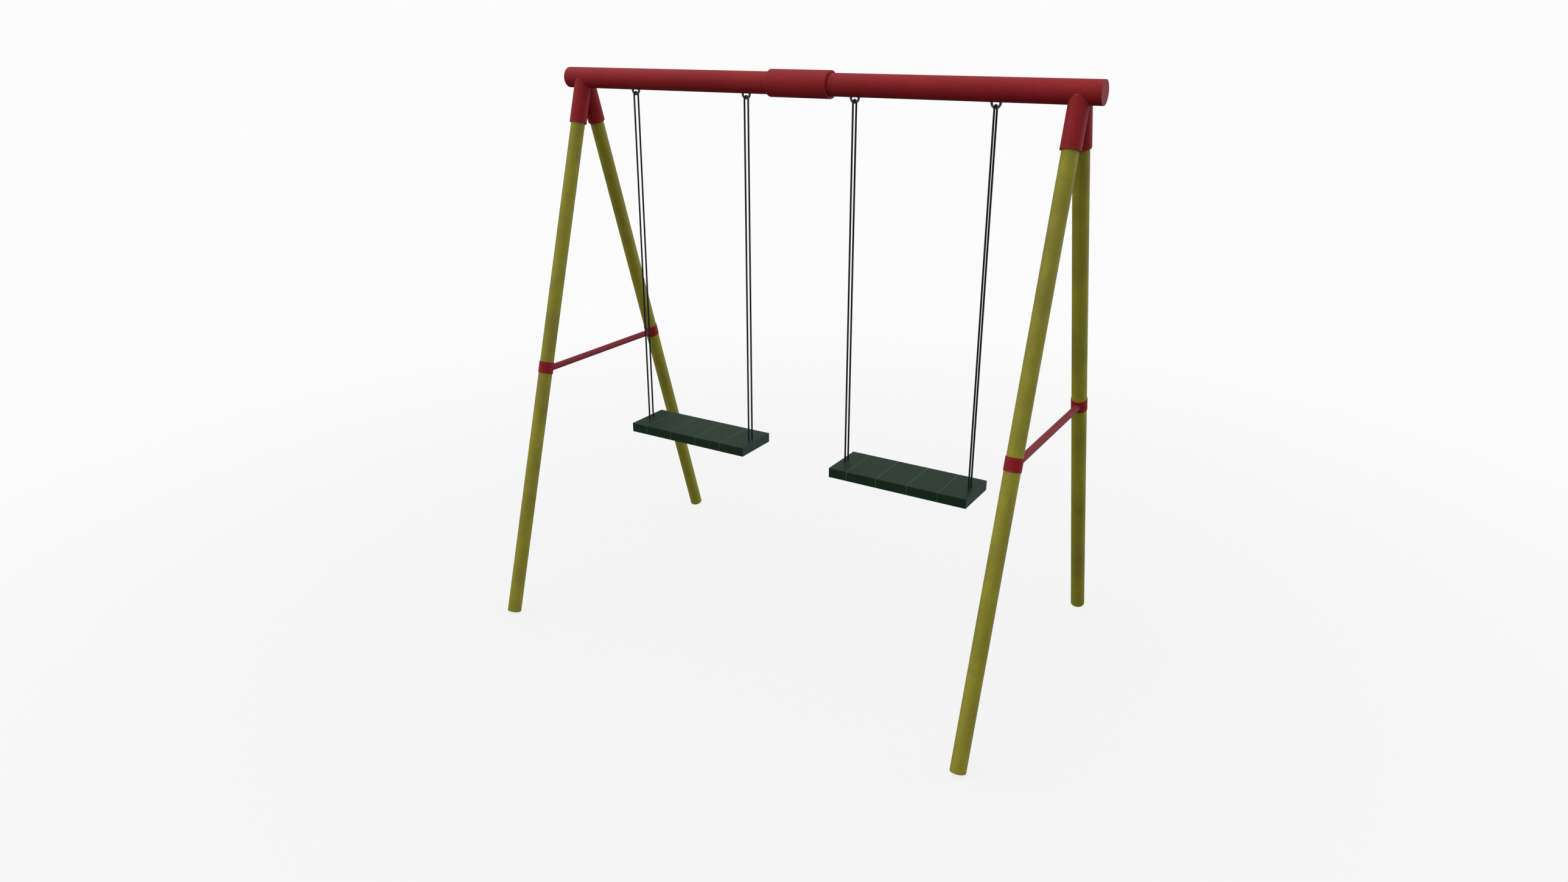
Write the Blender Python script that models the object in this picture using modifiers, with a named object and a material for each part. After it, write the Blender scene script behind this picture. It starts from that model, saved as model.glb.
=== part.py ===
"""Two-seat swing set: a coupled beam on two A-frames, with two rope-hung block seats.

Metres, +Z up. The origin is on the ground below the middle of the beam; +X runs along the beam and
the seats swing along Y. Leg, socket and collar places are distances down a leg's axis from the apex,
the point just above the beam where a pair of leg axes meet.
"""

import math

import bmesh
import bpy
from mathutils import Matrix, Vector

# Clearances
GAP = 0.0003                  # between pieces that touch
MERGE = 0.00005               # merging distance of turned shapes
HOLE_MARGIN = 0.010           # how far cutters reach past what they cut

# Beam: two tubes joined end to end in a sleeve
BEAM_HEIGHT = 1.9074          # axis above the ground
BEAM_LENGTH = 1.942
BEAM_RADIUS = 0.0354
BEAM_WALL = 0.003
CAP_THICKNESS = 0.004
CAP_SPIGOT = 0.010
SLEEVE_LENGTH = 0.222
SLEEVE_RADIUS = 0.0434
SLEEVE_SCREWS_X = (-0.085, -0.030, 0.030, 0.085)

# A-frames
FRAME_X = 0.9044              # each A-frame's plane, from the middle of the beam
LEG_TILT = math.radians(17.13)
APEX_HEIGHT = BEAM_HEIGHT + 0.0101
LEG_RADIUS = 0.025
LEG_WALL = 0.0025
LEG_TOP = 0.085               # the legs stop below the mitre between the sockets
LEG_END = (APEX_HEIGHT - LEG_RADIUS * math.sin(LEG_TILT)) / math.cos(LEG_TILT)
FOOT_PLATE = 0.004
SOCKET_RADIUS = 0.0305
SOCKET_TOP = 0.0215
SOCKET_END = 0.1716
SOCKET_SCREW = 0.152
COLLAR_RADIUS = 0.027
COLLAR_TOP = 1.0427
COLLAR_END = 1.0851
BRACE_RADIUS = 0.0115
BRACE_WALL = 0.002
BRACE_HEIGHT = 0.8922
MITRE_SIZE = (2.2 * FRAME_X, 0.2, 0.4)   # the space in front of or behind the middle plane

# Button-head screws with a hexagon socket
SCREW_HEAD_RADIUS = 0.0065
SCREW_HEAD_HEIGHT = 0.004
SCREW_RIM = 0.0012            # straight part of the head below its dome
SCREW_DOME_STEPS = 3
SCREW_SHANK_RADIUS = 0.003
SCREW_SHANK_LENGTH = 0.014
SCREW_HEX_RADIUS = 0.0023
SCREW_HEX_SIDES = 6
SCREW_HEX_DEPTH = 0.0022
SCREW_HOLE_RADIUS = SCREW_SHANK_RADIUS + GAP

# Hanging eyes, welded under the beam
EYE_RADIUS = 0.0135           # centreline of the half ring
EYE_WIRE_RADIUS = 0.004
EYE_STUB = 0.0014             # half ring's centre below the beam
EYE_CENTRE = BEAM_HEIGHT - BEAM_RADIUS - EYE_STUB
PIVOT_HEIGHT = EYE_CENTRE - EYE_RADIUS
EYE_STEPS = 14
EYE_SIDES = 3                 # bevel resolution of the wire

# Ropes: each is one length doubled over its eye
ROPE_RADIUS = 0.0031
ROPE_HALF_GAP = 0.0111        # strand axis from the swing's middle plane
ROPE_CROWN = EYE_WIRE_RADIUS + GAP + ROPE_RADIUS   # rope axis above the pivot at the bend
ROPE_STRAND_POINTS = 14
ROPE_BEND_STEPS = 12
ROPE_SIDES = 2                # bevel resolution of the rope

# Swings: middle of each pair of ropes, and the seat about it
SWING_X = {"left": -0.4399, "right": 0.4269}
ROPE_SPAN = 0.4627
SEAT_OFFSET = 0.0021          # seat's middle from the ropes' middle, along X
SEAT_LENGTH = 0.509
SEAT_DEPTH = 0.1815
SEAT_THICKNESS = 0.0347
SEAT_TOP = 0.6519             # above the ground
FIRST_BLOCK = 0.069
SEAM_PITCH = 0.113
SEAM_COUNT = 4
STRIP_THICKNESS = 0.0014
BLOCK_EDGE = 0.0008
CORE_LENGTH = 0.490
CORE_DEPTH = 0.120
CORE_THICKNESS = 0.004
STOP_SIZE = (0.018, 0.044, 0.008)
STOP_EDGE = 0.0015
STOP_BORE = 0.0055            # how deep the strands run into a stop

# Round shapes
STEPS = 36
BRACE_STEPS = 24
SMALL_STEPS = 12
SMOOTH_ANGLE = math.radians(35)

PAINT_RED = (0.30, 0.010, 0.014, 1)
PAINT_OLIVE = (0.21, 0.20, 0.020, 1)
STEEL_DARK = (0.045, 0.055, 0.060, 1)
STEEL_ZINC = (0.45, 0.46, 0.47, 1)
ROPE_BLACK = (0.010, 0.012, 0.014, 1)
SEAT_GREEN = (0.013, 0.030, 0.020, 1)
STRIP_GREY = (0.080, 0.105, 0.095, 1)


def clear_scene():
    for obj in list(bpy.data.objects):
        bpy.data.objects.remove(obj, do_unlink=True)


def new_collection(name):
    made = bpy.data.collections.new(name)
    bpy.context.scene.collection.children.link(made)
    return made


def new_material(name, colour, roughness, metallic):
    made = bpy.data.materials.new(name)
    made.use_nodes = True
    shader = made.node_tree.nodes["Principled BSDF"]
    shader.inputs["Base Color"].default_value = colour
    shader.inputs["Roughness"].default_value = roughness
    shader.inputs["Metallic"].default_value = metallic
    made.diffuse_color = colour
    return made


def add_object(name, data, collection, parent=None, place=None):
    made = bpy.data.objects.new(name, data)
    collection.objects.link(made)
    made.parent = parent
    if place is not None:
        made.matrix_basis = place
    return made


def add_part(name, data, slot, parent=None, place=None):
    made = add_object(name, data, PARTS, parent, place)
    if not data.materials:
        data.materials.append(MATERIALS[slot])
    return made


def add_cutter(name, data, parent=None, place=None):
    made = add_object(name, data, CUTTERS, parent, place)
    made.hide_render = True
    made.display_type = "WIRE"
    return made


def box_mesh(name, size, centre=(0, 0, 0)):
    shape = bmesh.new()
    bmesh.ops.create_cube(shape, size=1)
    bmesh.ops.scale(shape, vec=Vector(size), verts=shape.verts)
    bmesh.ops.translate(shape, vec=Vector(centre), verts=shape.verts)
    mesh = bpy.data.meshes.new(name)
    shape.to_mesh(mesh)
    shape.free()
    return mesh


def rod_mesh(name, radius, length, steps=STEPS):
    """A solid cylinder along Z about its own middle."""
    shape = bmesh.new()
    bmesh.ops.create_cone(
        shape, cap_ends=True, segments=steps, radius1=radius, radius2=radius, depth=length
    )
    mesh = bpy.data.meshes.new(name)
    shape.to_mesh(mesh)
    shape.free()
    return mesh


def profile_mesh(name, points, closed):
    """Edges in the XZ plane, to be turned about Z; the points run down the outer side."""
    edges = [(i, i + 1) for i in range(len(points) - 1)]
    if closed:
        edges.append((len(points) - 1, 0))
    mesh = bpy.data.meshes.new(name)
    mesh.from_pydata([(r, 0, z) for r, z in points], edges, [])
    return mesh


def turn(obj, steps):
    screw = obj.modifiers.new("turn", "SCREW")
    screw.steps = steps
    screw.render_steps = steps
    screw.use_merge_vertices = True
    screw.merge_threshold = MERGE
    screw.use_smooth_shade = True


def tube_profile(outer, inner, top, bottom):
    return [(outer, top), (outer, bottom), (inner, bottom), (inner, top)]


def cut(obj, *cutters):
    for cutter in cutters:
        boolean = obj.modifiers.new("cut " + cutter.name, "BOOLEAN")
        boolean.operation = "DIFFERENCE"
        boolean.object = cutter


def bevel(obj, width):
    edge = obj.modifiers.new("edge", "BEVEL")
    edge.width = width
    edge.segments = 1
    edge.limit_method = "ANGLE"


def shade_smooth(mesh):
    mesh.shade_smooth()
    mesh.set_sharp_from_angle(angle=SMOOTH_ANGLE)


def turned_part(name, slot, points, closed, place, steps=STEPS):
    made = add_part(name, profile_mesh(name, points, closed), slot, place=place)
    turn(made, steps)
    return made


def along_x(x, z):
    """Place whose local Z runs along the beam, towards +X."""
    return Matrix.Translation((x, 0, z)) @ Matrix.Rotation(math.pi / 2, 4, "Y")


def leg_place(side, end):
    """Place at an apex whose local -Z runs down a leg; its local +Y is the leg's rear side."""
    tilt = -LEG_TILT if end == "front" else LEG_TILT
    return Matrix.Translation((side * FRAME_X, 0, APEX_HEIGHT)) @ Matrix.Rotation(tilt, 4, "X")


def rear_facing(distance, drop):
    """Place on a part's rear side, `distance` from its axis, whose local Z points outwards."""
    return Matrix.Translation((0, distance, -drop)) @ Matrix.Rotation(-math.pi / 2, 4, "X")


def screw_mesh():
    """A button-head screw along Z, its head's underside at zero."""
    rise = SCREW_HEAD_HEIGHT - SCREW_RIM
    dome = []
    for i in range(SCREW_DOME_STEPS + 1):
        angle = math.pi / 2 * i / SCREW_DOME_STEPS
        dome.append((SCREW_HEAD_RADIUS * math.sin(angle), SCREW_RIM + rise * math.cos(angle)))
    shank = [
        (SCREW_HEAD_RADIUS, 0),
        (SCREW_SHANK_RADIUS, 0),
        (SCREW_SHANK_RADIUS, -SCREW_SHANK_LENGTH),
        (0, -SCREW_SHANK_LENGTH),
    ]
    body = add_cutter("screw body", profile_mesh("screw body", dome + shank, False))
    turn(body, SMALL_STEPS)
    hexagon = rod_mesh("screw hexagon", SCREW_HEX_RADIUS, 2 * SCREW_HEX_DEPTH, SCREW_HEX_SIDES)
    key = add_cutter("screw hexagon", hexagon, place=Matrix.Translation((0, 0, SCREW_HEAD_HEIGHT)))
    cut(body, key)
    graph = bpy.context.evaluated_depsgraph_get()
    mesh = bpy.data.meshes.new_from_object(body.evaluated_get(graph))
    shade_smooth(mesh)
    for helper in (body, key):
        bpy.data.objects.remove(helper)
    return mesh


def add_screw(name, mesh, place):
    """A screw, and the cutter for the clearance hole its shank runs through."""
    add_part(name, mesh, "zinc_steel", place=place)
    length = 2 * SCREW_SHANK_LENGTH
    return add_cutter(name + " hole", rod_mesh(name, SCREW_HOLE_RADIUS, length, SMALL_STEPS), place=place)


def build_beam(screw):
    half = BEAM_LENGTH / 2 - CAP_THICKNESS - GAP
    inner = BEAM_RADIUS - BEAM_WALL
    sleeve = turned_part(
        "beam_sleeve", "red_paint",
        tube_profile(SLEEVE_RADIUS, BEAM_RADIUS + GAP, SLEEVE_LENGTH / 2, -SLEEVE_LENGTH / 2),
        True, along_x(0, BEAM_HEIGHT),
    )
    tubes = {}
    for side, name in ((-1, "left"), (1, "right")):
        ends = sorted((side * GAP, side * half))
        tubes[side] = turned_part(
            "beam_tube_" + name, "red_paint",
            tube_profile(BEAM_RADIUS, inner, ends[1], ends[0]), True, along_x(0, BEAM_HEIGHT),
        )
        build_beam_cap("beam_cap_" + name, side, inner - GAP)
    for number, x in enumerate(SLEEVE_SCREWS_X, 1):
        place = Matrix.Translation((x, 0, BEAM_HEIGHT)) @ rear_facing(SLEEVE_RADIUS + GAP, 0)
        hole = add_screw(f"sleeve_screw_{number}", screw, place)
        cut(sleeve, hole)
        cut(tubes[-1 if x < 0 else 1], hole)


def build_beam_cap(name, side, spigot_radius):
    """A disc that closes a tube's end, with a spigot inside the tube."""
    face = CAP_THICKNESS
    points = [
        (0, face),
        (BEAM_RADIUS, face),
        (BEAM_RADIUS, 0),
        (spigot_radius, 0),
        (spigot_radius, -CAP_SPIGOT),
        (0, -CAP_SPIGOT),
    ]
    turned_about = Matrix.Identity(4) if side > 0 else Matrix.Rotation(math.pi, 4, "Y")
    place = along_x(side * (BEAM_LENGTH / 2 - CAP_THICKNESS), BEAM_HEIGHT) @ turned_about
    turned_part(name, "red_paint", points, False, place)


def build_frames(screw):
    """Both A-frames: sockets mitred to the beam and to each other, legs, collars and a brace."""
    saddle = add_cutter(
        "beam saddle", rod_mesh("beam saddle", BEAM_RADIUS + GAP, BEAM_LENGTH),
        place=along_x(0, BEAM_HEIGHT),
    )
    mitre_y = (MITRE_SIZE[1] - GAP) / 2
    mitres = {
        end: add_cutter(end + " mitre", box_mesh(end + " mitre", MITRE_SIZE, (0, y, APEX_HEIGHT)))
        for end, y in (("front", mitre_y), ("back", -mitre_y))
    }
    for side, side_name in ((-1, "left"), (1, "right")):
        collar_cutters = []
        for end in ("front", "back"):
            place = leg_place(side, end)
            tag = f"{end}_{side_name}"
            hole = add_screw("socket_screw_" + tag, screw,
                             place @ rear_facing(SOCKET_RADIUS + GAP, SOCKET_SCREW))
            socket = turned_part(
                "leg_socket_" + tag, "red_paint",
                tube_profile(SOCKET_RADIUS, LEG_RADIUS + GAP, -SOCKET_TOP, -SOCKET_END), True, place,
            )
            cut(socket, saddle, mitres[end], hole)
            cut(build_leg("leg_" + tag, place), hole)
            turned_part(
                "leg_collar_" + tag, "red_paint",
                tube_profile(COLLAR_RADIUS, LEG_RADIUS + GAP, -COLLAR_TOP, -COLLAR_END), True, place,
            )
            middle = Matrix.Translation((0, 0, -(COLLAR_TOP + COLLAR_END) / 2))
            length = COLLAR_END - COLLAR_TOP + 2 * HOLE_MARGIN
            collar_cutters.append(add_cutter(
                "collar " + tag, rod_mesh("collar " + tag, COLLAR_RADIUS + GAP, length),
                place=place @ middle,
            ))
        build_brace("brace_" + side_name, side, collar_cutters)


def build_leg(name, place):
    """A tube that is closed by a plate at the foot and open inside its socket."""
    inner = LEG_RADIUS - LEG_WALL
    points = [
        (0, FOOT_PLATE - LEG_END),
        (inner, FOOT_PLATE - LEG_END),
        (inner, -LEG_TOP),
        (LEG_RADIUS, -LEG_TOP),
        (LEG_RADIUS, -LEG_END),
        (0, -LEG_END),
    ]
    return turned_part(name, "olive_paint", points, False, place)


def build_brace(name, side, cutters):
    """A level tube between an A-frame's collars, its ends cut to fit round them."""
    reach = (APEX_HEIGHT - BRACE_HEIGHT) * math.tan(LEG_TILT)
    place = (
        Matrix.Translation((side * FRAME_X, 0, BRACE_HEIGHT)) @ Matrix.Rotation(math.pi / 2, 4, "X")
    )
    made = turned_part(
        name, "red_paint",
        tube_profile(BRACE_RADIUS, BRACE_RADIUS - BRACE_WALL, reach, -reach), True, place, BRACE_STEPS,
    )
    cut(made, *cutters)


def wire_curve(name, points, radius, resolution):
    """A solid round wire whose axis runs through the points."""
    curve = bpy.data.curves.new(name, "CURVE")
    curve.dimensions = "3D"
    curve.bevel_depth = radius
    curve.bevel_resolution = resolution
    curve.use_fill_caps = True
    spline = curve.splines.new("POLY")
    spline.points.add(len(points) - 1)
    for point, place in zip(spline.points, points):
        point.co = (*place, 1)
    return curve


def build_eye(name, x):
    """Half a ring below the beam, in the beam's plane, on two short stubs."""
    top = EYE_STUB - GAP
    points = [(-EYE_RADIUS, 0, top)]
    for i in range(EYE_STEPS + 1):
        angle = math.pi * (1 + i / EYE_STEPS)
        points.append((EYE_RADIUS * math.cos(angle), 0, EYE_RADIUS * math.sin(angle)))
    points.append((EYE_RADIUS, 0, top))
    wire = wire_curve(name, points, EYE_WIRE_RADIUS, EYE_SIDES)
    add_part(name, wire, "dark_steel", place=Matrix.Translation((x, 0, EYE_CENTRE)))


def rope_points(low):
    """A rope's axis about its pivot: up one strand, over the eye's wire and down the other."""
    bend = ROPE_CROWN - ROPE_HALF_GAP
    rise = [low + (bend - low) * i / ROPE_STRAND_POINTS for i in range(ROPE_STRAND_POINTS)]
    arc = [math.pi * i / ROPE_BEND_STEPS for i in range(ROPE_BEND_STEPS + 1)]
    up = [(0, -ROPE_HALF_GAP, z) for z in rise]
    over = [(0, -ROPE_HALF_GAP * math.cos(a), bend + ROPE_HALF_GAP * math.sin(a)) for a in arc]
    down = [(0, ROPE_HALF_GAP, z) for z in reversed(rise)]
    return up + over + down


def build_rope(name, pivot, x, low):
    """One rope on its eye, and the cutters for the holes that its two strands run through."""
    path = wire_curve(name, rope_points(low), ROPE_RADIUS, ROPE_SIDES)
    add_part(name, path, "rope_black", pivot, Matrix.Translation((x, 0, 0)))
    base = low - GAP
    top = SEAT_TOP - PIVOT_HEIGHT + HOLE_MARGIN
    holes = []
    for strand, y in (("front", -ROPE_HALF_GAP), ("back", ROPE_HALF_GAP)):
        label = f"{name} {strand} hole"
        mesh = rod_mesh(label, ROPE_RADIUS + GAP, top - base, SMALL_STEPS)
        holes.append(add_cutter(label, mesh, pivot, Matrix.Translation((x, y, (top + base) / 2))))
    return holes


def build_stop(name, pivot, x, seat_bottom, holes):
    """The block under the seat that both strands of a rope end in."""
    centre = (x, 0, seat_bottom - GAP - STOP_SIZE[2] / 2)
    stop = add_part(name, box_mesh(name, STOP_SIZE, centre), "zinc_steel", pivot)
    bevel(stop, STOP_EDGE)
    cut(stop, *holes)


def build_seat(side, pivot, holes):
    """Blocks with thin strips between them, moulded round one steel core plate."""
    middle = SEAT_TOP - PIVOT_HEIGHT - SEAT_THICKNESS / 2
    centre = (SEAT_OFFSET, 0, middle)
    core_size = (CORE_LENGTH, CORE_DEPTH, CORE_THICKNESS)
    slot_size = tuple(size + 2 * GAP for size in core_size)
    slot = add_cutter(side + " core slot", box_mesh(side + " core slot", slot_size, centre), pivot)
    core = add_part("seat_core_" + side, box_mesh("core", core_size, centre), "zinc_steel", pivot)
    cut(core, *holes["a"], *holes["b"])
    start = SEAT_OFFSET - SEAT_LENGTH / 2
    seams = [start + FIRST_BLOCK + SEAM_PITCH * i for i in range(SEAM_COUNT)]
    half_seam = STRIP_THICKNESS / 2 + GAP
    lows = [start] + [x + half_seam for x in seams]
    highs = [x - half_seam for x in seams] + [start + SEAT_LENGTH]
    for number, (low, high) in enumerate(zip(lows, highs), 1):
        mesh = box_mesh("block", (high - low, SEAT_DEPTH, SEAT_THICKNESS), ((low + high) / 2, 0, middle))
        block = add_part(f"seat_block_{side}_{number}", mesh, "seat_green", pivot)
        bevel(block, BLOCK_EDGE)
        cut(block, slot)
        if number == 1:
            cut(block, *holes["a"])
        if high == highs[-1]:
            cut(block, *holes["b"])
    for number, x in enumerate(seams, 1):
        mesh = box_mesh("strip", (STRIP_THICKNESS, SEAT_DEPTH, SEAT_THICKNESS), (x, 0, middle))
        cut(add_part(f"seat_strip_{side}_{number}", mesh, "seam_grey", pivot), slot)


def build_swing(side):
    """One swing, on an empty at the pivot: two ropes and their stops, and the seat."""
    pivot = add_object(side + "_swing_pivot", None, PARTS,
                       place=Matrix.Translation((SWING_X[side], 0, PIVOT_HEIGHT)))
    seat_bottom = SEAT_TOP - SEAT_THICKNESS - PIVOT_HEIGHT
    holes = {}
    for tag, x in (("a", -ROPE_SPAN / 2), ("b", ROPE_SPAN / 2)):
        build_eye(f"eye_{side}_{tag}", SWING_X[side] + x)
        low = seat_bottom - GAP - STOP_BORE
        holes[tag] = build_rope(f"rope_{side}_{tag}", pivot, x, low)
        build_stop(f"rope_stop_{side}_{tag}", pivot, x, seat_bottom, holes[tag])
    build_seat(side, pivot, holes)


clear_scene()
PARTS = new_collection("swing_set")
CUTTERS = new_collection("cutters")
MATERIALS = {
    "red_paint": new_material("red_paint", PAINT_RED, 0.42, 0.0),
    "olive_paint": new_material("olive_paint", PAINT_OLIVE, 0.55, 0.0),
    "dark_steel": new_material("dark_steel", STEEL_DARK, 0.40, 0.7),
    "zinc_steel": new_material("zinc_steel", STEEL_ZINC, 0.38, 1.0),
    "rope_black": new_material("rope_black", ROPE_BLACK, 0.50, 0.0),
    "seat_green": new_material("seat_green", SEAT_GREEN, 0.60, 0.0),
    "seam_grey": new_material("seam_grey", STRIP_GREY, 0.60, 0.0),
}
SCREW = screw_mesh()
build_beam(SCREW)
build_frames(SCREW)
for swing in SWING_X:
    build_swing(swing)
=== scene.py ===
"""Looks of the swing set: fine meshes with painted, moulded, braided and plated finishes.

Metres, +Z up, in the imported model's frame: +X along the beam, +Y from front to back. Each piece stands
for one CAD node, is worked out from that node's box, and rides on the node's body.
"""

import math

import bpy
import numpy as np
from mathutils import Matrix, Vector


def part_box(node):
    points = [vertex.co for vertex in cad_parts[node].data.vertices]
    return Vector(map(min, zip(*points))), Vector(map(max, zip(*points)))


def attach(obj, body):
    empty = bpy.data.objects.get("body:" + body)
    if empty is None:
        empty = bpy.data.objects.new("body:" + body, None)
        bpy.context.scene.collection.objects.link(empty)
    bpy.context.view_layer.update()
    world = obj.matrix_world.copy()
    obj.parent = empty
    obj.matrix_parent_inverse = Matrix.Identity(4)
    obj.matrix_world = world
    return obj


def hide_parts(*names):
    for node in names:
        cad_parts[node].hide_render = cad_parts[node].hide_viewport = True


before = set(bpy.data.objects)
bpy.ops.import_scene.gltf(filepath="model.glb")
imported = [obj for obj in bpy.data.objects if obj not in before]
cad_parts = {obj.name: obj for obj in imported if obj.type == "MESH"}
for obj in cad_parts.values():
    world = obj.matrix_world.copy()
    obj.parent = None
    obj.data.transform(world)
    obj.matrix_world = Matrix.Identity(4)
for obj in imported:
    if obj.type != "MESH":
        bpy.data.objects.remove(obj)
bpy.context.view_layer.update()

# Camera
CAMERA_PLACE = (1.8205, -3.0777, 2.0704)
CAMERA_YAW = 0.5491
CAMERA_PITCH = 0.36928
CAMERA_LENS = 24.444
CAMERA_SENSOR = 36.0

# Legs and sockets: what their boxes don't give
LEG_TILT = math.radians(17.13)
APEX_ABOVE_BEAM = 0.0101      # where a pair of leg axes meet
SOCKET_TOP = 0.0225           # from the apex, down the leg
SOCKET_WALL = 0.0052
TIP_PAINTED_HIGHLIGHT = 5.0                # painted highlight on a socket's tip: five times the rubbed-edge colour of its other edges, at 1

# Fine shape
STEPS = 96                    # round the big tubes
EDGE = 0.0007                 # rounding of tube ends
FOOT_EDGE = 0.0010
COLLAR_EDGE = 0.0005
EDGE_STEPS = 3
LIP = 0.0003                  # a last narrow row, which keeps the shading of the rows before it straight
SHARPEST = 0.0002             # smallest corner radius of a block
WEAR_REACH = 0.005            # how far rubbed paint reaches from an edge
EMBED = 0.0015                # how far welded pieces run into their neighbours
BEAM_WALL = 0.003
SLEEVE_GAP = 0.0004           # between the sleeve's bore and the beam

# Eyes
EYE_STEPS = 48
EYE_SIDES = 32
WELD_REACH = 0.0012           # how far a weld's flare reaches down the wire
WELD_FLARE = 0.45             # part of the wire's radius

# Button heads, as parts of their radius or height
SCREW_HEIGHT = 0.004
SCREW_KEY = 0.40              # half the hexagon's width across flats
SCREW_KEY_DEPTH = 0.55
SCREW_RIM = 0.25
SCREW_FLAT = 1.2              # the dome's flat top, as a part of the hexagon
SCREW_UNDERSIDE = 0.3         # inner end of the underside's ring
SCREW_DOME_STEPS = 8
SCREW_STEPS = 48

# Seats
BLOCKS = 5
SEAT_EDGE = 0.0012
SEAM_EDGE = 0.0005
SEAM_WIDTH = 0.0020
STRIP_EDGE = 0.0001
CORE_EDGE = 0.0005
STOP_EDGE = 0.0022
HOLE_RADIUS = 0.0035
HOLE_SIDES = 32

# Ropes
ROPE_SIDES = 20
ROPE_RING = 0.0016            # distance between rings of the mesh
BRAID_PITCH = 0.024           # one carrier's full turn
BRAID_STRANDS = 3             # carriers that run each way
BRAID_RELIEF = 0.00028

# Colours: linear
RED_COLOURS = (               # dark and light patches, streaks
    (0.440, 0.022, 0.028, 1), (0.525, 0.028, 0.034, 1), (0.360, 0.025, 0.034, 1),
)
SHEEN_RED_COLOURS = (             # paler, greyer copies of the same for the crossbars: a painted sheen
    (0.365, 0.044, 0.058, 1), (0.405, 0.052, 0.066, 1), (0.320, 0.044, 0.056, 1),
)
# rubbed edges; at full strength on the sockets' tips it is a painted highlight
WORN_RED_AND_TIP_HIGHLIGHT = (0.55, 0.16, 0.16, 1)
OLIVE_BROWN = (0.400, 0.355, 0.037, 1)
OLIVE_GREEN = (0.570, 0.540, 0.029, 1)
OLIVE_STREAK = (0.360, 0.295, 0.040, 1)
OLIVE_BLOTCH = (0.330, 0.265, 0.040, 1)
OLIVE_SPECK = (0.370, 0.310, 0.090, 1)
OLIVE_RING = (0.320, 0.280, 0.030, 1)
WORN_OLIVE = (0.55, 0.52, 0.22, 1)
STEEL_DARK = (0.165, 0.200, 0.225, 1)
STEEL_LIGHT = (0.225, 0.260, 0.285, 1)
ZINC_DARK = (0.30, 0.31, 0.32, 1)
ZINC_LIGHT = (0.62, 0.63, 0.64, 1)
FIBRE_DARK = (0.007, 0.010, 0.014, 1)
FIBRE_LIGHT = (0.015, 0.021, 0.028, 1)
# painted shade, laid into the bottoms of the rope's grooves
FIBRE_GROOVE_SHADE = (0.002, 0.003, 0.004, 1)
RUBBER_DARK = (0.0078, 0.0378, 0.0185, 1)
RUBBER_LIGHT = (0.0092, 0.0428, 0.0215, 1)
RUBBER_FLECK = (0.040, 0.090, 0.055, 1)
WORN_RUBBER = (0.060, 0.110, 0.090, 1)
FILLER_DARK = (0.078, 0.120, 0.100, 1)
FILLER_LIGHT = (0.098, 0.146, 0.122, 1)

SEED_SPREAD = 37.0            # how far apart the pieces' noise patterns lie

# Stage
FLOOR_REACH = 60.0
FLOOR_DROP = 0.0005           # below the feet, so that they show whole
FLOOR_WHITE = 0.9
FLOOR_PLAIN = 1.0             # distance from the origin where the floor starts to fade
FLOOR_FADED = 5.0
FLOOR_GLOW = 0.85             # how much of the floor's white is the backdrop's, near the object
BACKDROP = (0.97, 0.97, 0.97, 1)
SKY = (0.42, 0.43, 0.44)
SKY_FALL = 1.0                # how fast the sky fades downwards
LIGHT_LOBES = (               # azimuth from the front, elevation, power of the lobe's cosine, colour
    (300, 50, 3.0, (0.82, 0.82, 0.82)),
    (138, 6, 5.0, (0.64, 0.68, 0.72)),
)

SIDES = ("left", "right")
ENDS = ("front", "back")
TAGS = ("a", "b")


# Camera -----------------------------------------------------------------------------------------------

def add_camera():
    data = bpy.data.cameras.new("camera")
    data.lens = CAMERA_LENS
    data.sensor_width = CAMERA_SENSOR
    made = bpy.data.objects.new("camera", data)
    made.location = CAMERA_PLACE
    made.rotation_euler = (math.pi / 2 - CAMERA_PITCH, 0, CAMERA_YAW)
    bpy.context.scene.collection.objects.link(made)
    bpy.context.scene.camera = made


# Meshes and pieces ------------------------------------------------------------------------------------

def new_mesh(name, rows, closed_rows=False, wear=None):
    """A skin over rows of points: every row is a closed ring, and the end rings are capped unless the
    last row joins the first. The point attribute is 0, and 1 at a rubbed edge; it is above 1 on a
    socket's tip, where it paints a highlight, and up to 1 in a rope's grooves, where it paints shade."""
    grid = np.asarray(rows, float)
    count, width = grid.shape[:2]
    faces = []
    for j in range(count if closed_rows else count - 1):
        low, high = j * width, (j + 1) % count * width
        for i in range(width):
            k = (i + 1) % width
            faces.append((low + i, low + k, high + k, high + i))
    if not closed_rows:
        faces.append(tuple(reversed(range(width))))
        faces.append(tuple(range((count - 1) * width, count * width)))
    mesh = bpy.data.meshes.new(name)
    mesh.from_pydata(grid.reshape(-1, 3).tolist(), [], faces)
    mesh.shade_smooth()
    values = np.zeros(count * width, np.float32) if wear is None else np.asarray(wear, np.float32)
    mesh.attributes.new("wear", "FLOAT", "POINT").data.foreach_set("value", values.ravel())
    return mesh


def sweep(name, centres, across, radius_at, sides, wear_at=None):
    """A tube along centres, which lie in the plane square to across. Both functions take the distance
    along the tube and the angle round it."""
    centres = np.asarray(centres, float)
    across = np.asarray(across, float)
    tangents = np.gradient(centres, axis=0)
    tangents /= np.linalg.norm(tangents, axis=1)[:, None]
    outwards = np.cross(tangents, across)
    steps = np.linalg.norm(np.diff(centres, axis=0), axis=1)
    along = np.concatenate(([0.0], np.cumsum(steps)))[:, None]
    angles = 2 * math.pi * np.arange(sides)[None, :] / sides
    radii = radius_at(along, angles)[..., None]
    wear = None if wear_at is None else wear_at(along, angles)
    ring = np.cos(angles)[..., None] * across + np.sin(angles)[..., None] * outwards[:, None, :]
    return new_mesh(name, centres[:, None, :] + radii * ring, False, wear)


def middle_and_size(node):
    low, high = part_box(node)
    return (low + high) / 2, high - low


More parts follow.
